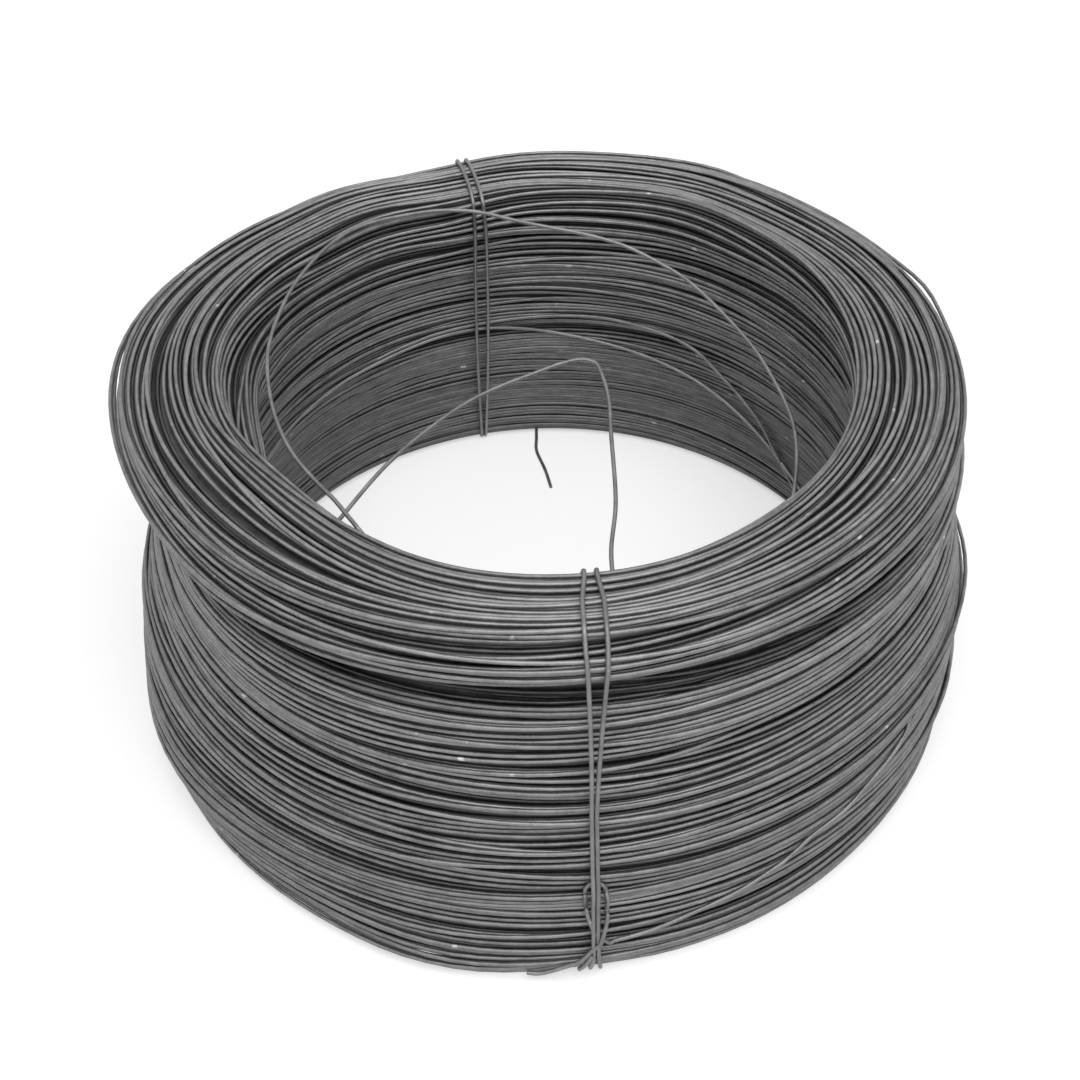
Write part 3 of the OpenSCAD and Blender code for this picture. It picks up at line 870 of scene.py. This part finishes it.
class COIL_OT_outer_end(bpy.types.Operator):
    """Adds the outer wire end: a slanting run down the side, a hitch round the front tie and a tail"""

    bl_idname = "coil.outer_end"
    bl_label = "Outer wire end"

    def execute(self, context):
        wires("outer_wire_end", [self.path()], FREE_SIDES, False, coil_finish(), "outer_wire_end")
        return {"FINISHED"}

    def path(self):
        """The end's line, from places past the front tie, heights and stand-offs in wires."""
        size = sizes()
        d = size.wire_d
        low = size.hitch_z - size.hitch_h / 2
        high = size.hitch_z + size.hitch_h / 2
        half = size.hitch_w / 2
        run = [
            (size.outer_run * t, low - 4.5 * MM + size.run_rise * t * (1 - size.run_sag * (1 - t)),
             -2.4 * max(0, t - 0.9) / 0.3)
            for t in (1.2, 1.1, 1.0, 0.9, 0.8, 0.7, 0.55, 0.4, 0.3, 0.2, 0.1)]
        eye = [
            (2.1 * half, low - 2.7 * MM, 0.2),
            (1.5 * half, low - 3.1 * MM, 0.3),
            (1.25 * half, low - 2.6 * MM, 0.5),
            (0.85 * half, low - 1.0 * MM, 0.8),
            (0.4 * half, low + 0.04 * size.hitch_h, 1.0),
            (-0.1 * half, low + 0.17 * size.hitch_h, 1.0),
            (-0.5 * half, low + 0.36 * size.hitch_h, 0.9),
            (-0.8 * half, low + 0.56 * size.hitch_h, 0.5),
            (-0.92 * half, low + 0.76 * size.hitch_h, 0),
            (-0.75 * half, low + 0.92 * size.hitch_h, 0),
            (-0.1 * half, high, 0),
            (0.6 * half, low + 0.97 * size.hitch_h, 0),
            (1.05 * half, low + 0.85 * size.hitch_h, 0),
            (1.25 * half, low + 0.65 * size.hitch_h, 0.2),
            (1.15 * half, low + 0.45 * size.hitch_h, 0.5),
            (0.9 * half, low + 0.24 * size.hitch_h, 1.2),
            (0.4 * half, low, 2.0)]
        tail = [
            (-0.45 * half, low - 3.2 * MM, 1.6), (-4.2 * MM, 7.8 * MM, 0), (-7.9 * MM, 5.8 * MM, 0),
            (-11.1 * MM, 4.2 * MM, 0), (-13.7 * MM, 3.1 * MM, 0), (-15.8 * MM, 2.8 * MM, 0),
            (-17.8 * MM, 3.2 * MM, 0)]
        # Its steps are finest where the stand-off changes
        route = spline_through(run + eye + tail, 1.2 * d)
        side = size.top_outer_d / 2 + size.belly_spread
        angles = FRONT_TIE + route[:, 0] / side
        tie_r, tie_z, outside = taut_line(FRONT_TIE)
        on_tie = np.interp(route[:, 1], tie_z[outside], tie_r[outside])
        crosses = (np.abs(route[:, 0]) < 2.6 * d) & (route[:, 1] < size.hitch_z + 2 * MM)
        rest = resting(angles, np.full(len(route), side), route[:, 1], 1)
        r = eased(np.where(crosses, np.maximum(rest, on_tie), rest), 3) + route[:, 2] * d
        foot = len(route) - np.argmax(route[::-1, 1] > low - 2 * MM)
        # The tail's radii run evenly from the hitch to just outside the turns near the floor
        left = len(route) - foot
        base = resting(angles[foot:], np.full(left, side), np.full(left, 3 * MM), 1)
        r[foot:] = np.linspace(r[foot - 1], base.max() + 0.2 * d, left)
        return in_space(r, route[:, 1], angles)


class COIL_OT_inner_ends(bpy.types.Operator):
    """Adds the inner wire end across the bore, the loose inner turn and the short end at the base"""

    bl_idname = "coil.inner_ends"
    bl_label = "Inner wire ends"

    def execute(self, context):
        d = sizes().wire_d
        end = [Vector(place) * MM for place in INNER_END]
        short = [(x * MM, y * MM, d / 2) for x, y in BASE_END]
        pieces = (
            ("inner_wire_end", [spline_through(end, 1.5 * d)], "inner_wire_end"),
            ("base_wire_end", [spline_through(short, 1.5 * d)], "base_wire_end"),
            ("loose_inner_turn", [self.loose_turn()], "loose_inner_turn"),
            ("loose_bore_arcs", [self.arc(knots) for knots in LOOSE_ARCS], "wire_coil"))
        for name, lines, node in pieces:
            wires(name, lines, FREE_SIDES, False, coil_finish(), node)
        return {"FINISHED"}

    def arc(self, knots):
        """A loose turn on the bore's wall, with both ends between the turns."""
        d = sizes().wire_d
        bore = sizes().top_outer_d / 2 - sizes().base_wall
        line = spline_through([(math.radians(bearing) * bore, 0, z * MM) for bearing, z in knots], 3 * d)
        angles, z = line[:, 0] / bore, line[:, 2]
        wall = -eased(-resting(angles, np.full(len(z), bore - 5 * MM), z, -1), 2)
        ends = np.minimum(np.arange(len(z)), np.arange(len(z))[::-1])
        return in_space(wall + 1.5 * d * np.clip(1 - ends / 6, 0, 1), z, angles)

    def loose_turn(self):
        """The loose inner turn, which hangs free but never reaches into the bore's wall."""
        about = 90 * MM
        route = [(math.radians(bearing) * about, r * MM, z * MM) for bearing, r, z in LOOSE_TURN]
        line = spline_through(route, 2 * sizes().wire_d)
        angles, r, z = line[:, 0] / about, line[:, 1], line[:, 2]
        wall = resting(angles, np.full(len(r), sizes().top_outer_d / 2 - sizes().top_wall), z, -1)
        return in_space(-eased(-np.minimum(r, wall), 2), z, angles)


class COIL_OT_packed_core(bpy.types.Operator):
    """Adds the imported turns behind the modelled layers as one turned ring, slumped as they are"""

    bl_idname = "coil.packed_core"
    bl_label = "Packed core"

    def execute(self, context):
        steps = 60
        depth = 3.9 * sizes().wire_d
        marks = np.linspace(0, section_line()[2], steps, endpoint=False)
        line = on_section(marks, np.full(steps, depth))[0]
        shape = bmesh.new()
        rim = [shape.verts.new((r, 0, max(z, 1.2 * MM))) for r, z in line]
        edges = [shape.edges.new((rim[i - 1], rim[i])) for i in range(steps)]
        bmesh.ops.spin(
            shape, geom=rim + edges, cent=(0, 0, 0), axis=(0, 0, 1), angle=TAU, steps=96, use_merge=True)
        bmesh.ops.remove_doubles(shape, verts=shape.verts, dist=0.01 * MM)
        bmesh.ops.recalc_face_normals(shape, faces=shape.faces)
        for vert in shape.verts:
            r, angle = math.hypot(vert.co.x, vert.co.y), math.atan2(vert.co.y, vert.co.x)
            grown = 1 + float(slump(np.array([r, vert.co.z]), angle)) / r
            vert.co.x *= grown
            vert.co.y *= grown
        mesh = bpy.data.meshes.new("packed_core")
        shape.to_mesh(mesh)
        shape.free()
        mesh.shade_smooth()
        piece = bpy.data.objects.new("packed_core", mesh)
        context.scene.collection.objects.link(piece)
        # The core has no attribute for the painted shade, so it reads 0 and is painted in the darkest
        # shade
        mesh.materials.append(coil_finish())
        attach(piece, "root")
        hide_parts("wire_coil")
        return {"FINISHED"}


class COIL_OT_stage(bpy.types.Operator):
    """Adds the pale floor, the soft lamp, the white surroundings and the camera"""

    bl_idname = "coil.stage"
    bl_label = "Stage"

    def execute(self, context):
        self.add_floor(context)
        self.add_light(context)
        self.add_camera(context)
        return {"FINISHED"}

    def add_floor(self, context):
        """A pale floor that looks white but for the coil's shadow."""
        shape = bmesh.new()
        bmesh.ops.create_grid(shape, x_segments=1, y_segments=1, size=6.0)
        mesh = bpy.data.meshes.new("floor")
        shape.to_mesh(mesh)
        shape.free()
        floor = bpy.data.objects.new("floor", mesh)
        context.scene.collection.objects.link(floor)
        shade = Shade("floor_white")
        lit = shade.value(shade.node("ShaderNodeBsdfDiffuse", {}, {"Color": (0.8, 0.8, 0.8, 1)}))
        dimmed = shade.value(shade.node("ShaderNodeBsdfDiffuse", {}, {"Color": (0.6, 0.6, 0.6, 1)}))
        glow = shade.value(shade.node("ShaderNodeEmission", {}, {"Color": (1, 1, 1, 1), "Strength": 0.53}))
        seen = shade.value(shade.node("ShaderNodeAddShader", {}, {0: dimmed, 1: glow}))
        both = shade.node("ShaderNodeMixShader", {}, {0: shade.looked_at(), 1: lit, 2: seen})
        shade.show(shade.value(both))
        mesh.materials.append(shade.material)

    def add_light(self, context):
        """One soft lamp in front and above, and a sky that is brightest overhead."""
        stage = context.scene.coil_stage
        key = bpy.data.lights.new("key_lamp", "AREA")
        key.energy = stage.key_power
        key.shape = "DISK"
        key.size = 1.2
        lamp = bpy.data.objects.new("key_lamp", key)
        context.scene.collection.objects.link(lamp)
        lamp.location = (0.12, -0.5, 1.35)
        lamp.rotation_euler = (Vector((0, 0, 0.05)) - lamp.location).to_track_quat("-Z", "Y").to_euler()
        world = bpy.data.worlds.new("studio")
        context.scene.world = world
        shade = Shade("studio", world)
        up = shade.value(shade.node("ShaderNodeSeparateXYZ", {}, {
            0: shade.value(shade.node("ShaderNodeTexCoord"), "Generated")}), "Z")
        strength = (up * 1.5 + 0.28) * stage.sky
        sky, white = (
            shade.value(shade.node(
                "ShaderNodeBackground", {}, {"Color": (1, 1, 1, 1), "Strength": level}))
            for level in (strength, 1.0))
        both = shade.node("ShaderNodeMixShader", {}, {0: shade.looked_at(), 1: sky, 2: white})
        shade.show(shade.value(both), "ShaderNodeOutputWorld")

    def add_camera(self, context):
        """The photo's camera: focal length and shifts are in pixels of a frame this many across."""
        across = 1080
        focal = 1566
        side, rise = 5.7, -43.0
        elevation = math.radians(40.8)
        away = 480 * MM
        roll = -0.021
        camera = bpy.data.cameras.new("camera")
        camera.sensor_width = 36
        camera.lens = focal / across * camera.sensor_width
        camera.shift_x = -side / across
        camera.shift_y = rise / across
        view = Vector((0, math.cos(elevation), -math.sin(elevation)))
        up = Vector((0, math.sin(elevation), math.cos(elevation)))
        right = Vector((1, 0, 0))
        turned_right = math.cos(roll) * right + math.sin(roll) * up
        turned_up = math.cos(roll) * up - math.sin(roll) * right
        holder = bpy.data.objects.new("camera", camera)
        context.scene.collection.objects.link(holder)
        place = Vector((0, 0, COIL_H / 2)) - view * away
        holder.matrix_world = Matrix.Translation(place) @ Matrix(
            (turned_right, turned_up, -view)).transposed().to_4x4()
        context.scene.camera = holder
        context.scene.view_settings.view_transform = "Standard"


class COIL_PT_panel(bpy.types.Panel):
    """Lists the steps that build the coil"""

    bl_label = "Wire coil"
    bl_idname = "COIL_PT_panel"
    bl_space_type = "VIEW_3D"
    bl_region_type = "UI"
    bl_category = "Wire coil"

    def draw(self, context):
        for step in STEPS:
            self.layout.operator(step.bl_idname)


STEPS = (
    COIL_OT_packed_core, COIL_OT_wound_turns, COIL_OT_ties, COIL_OT_outer_end, COIL_OT_inner_ends,
    COIL_OT_stage)
GROUPS = (COIL_PG_sizes, COIL_PG_colours, COIL_PG_stage)
CLASSES = GROUPS + STEPS + (COIL_PT_panel,)


def register():
    for made in CLASSES:
        bpy.utils.register_class(made)
    bpy.types.Scene.coil_sizes = PointerProperty(type=COIL_PG_sizes)
    bpy.types.Scene.coil_colours = PointerProperty(type=COIL_PG_colours)
    bpy.types.Scene.coil_stage = PointerProperty(type=COIL_PG_stage)


def unregister():
    del bpy.types.Scene.coil_stage
    del bpy.types.Scene.coil_colours
    del bpy.types.Scene.coil_sizes
    for made in reversed(CLASSES):
        bpy.utils.unregister_class(made)


def corners(box):
    return [list(corner) for corner in box]


def main():
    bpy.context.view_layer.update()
    register()
    bpy.ops.coil.packed_core()
    bpy.ops.coil.wound_turns()
    bpy.ops.coil.ties()
    bpy.ops.coil.outer_end()
    bpy.ops.coil.inner_ends()
    bpy.ops.coil.stage()


if __name__ == "__main__":
    main()
